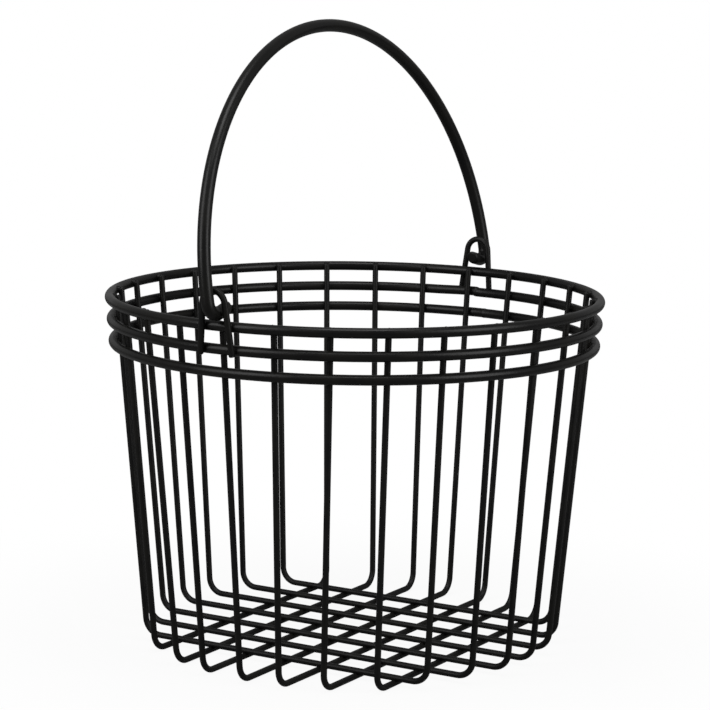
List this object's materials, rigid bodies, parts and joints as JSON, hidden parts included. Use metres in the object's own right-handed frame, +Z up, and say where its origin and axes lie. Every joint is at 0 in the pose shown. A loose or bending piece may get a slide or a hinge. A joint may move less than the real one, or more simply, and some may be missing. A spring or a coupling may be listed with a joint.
{
  "type": "wire harvest basket",
  "caption": "Round open basket of black-coated welded wire: tapered walls, crossed-wire floor, rim hoops, and a bail handle that swings in hairpin ears.",
  "frame": {"origin": "on the ground under the middle of the basket", "axes": "+Z up, +X along the line through both ears that the handle swings on, +Y towards the side that the handle leans to at rest"},
  "size_m": [0.3598, 0.33, 0.4135],
  "materials": {
    "hoop_coating": "satin black coating on steel wire",
    "wall_wire_coating": "satin black coating on steel wire",
    "handle_coating": "satin black coating on steel wire"
  },
  "bodies": {
    "basket": {"top_hoop": "hoop_coating", "middle_hoop": "hoop_coating", "lower_hoop": "hoop_coating", "lower_wire_1": "wall_wire_coating", "lower_wire_2": "wall_wire_coating", "lower_wire_3": "wall_wire_coating", "lower_wire_4": "wall_wire_coating", "lower_wire_5": "wall_wire_coating", "lower_wire_6": "wall_wire_coating", "lower_wire_7": "wall_wire_coating", "upper_wire_1": "wall_wire_coating", "upper_wire_2": "wall_wire_coating", "upper_wire_3": "wall_wire_coating", "upper_wire_4": "wall_wire_coating", "upper_wire_5": "wall_wire_coating", "upper_wire_6": "wall_wire_coating", "upper_wire_7": "wall_wire_coating", "front_ear": "wall_wire_coating", "back_ear": "wall_wire_coating"},
    "handle": {"handle": "handle_coating"}
  },
  "joints": [
    {"name": "handle_swing", "type": "hinge", "parent": "basket", "child": "handle", "pos_m": [0, -0.00329, 0.23985], "axis": [1, 0, 0], "range_deg": [-81, 113]}
  ]
}
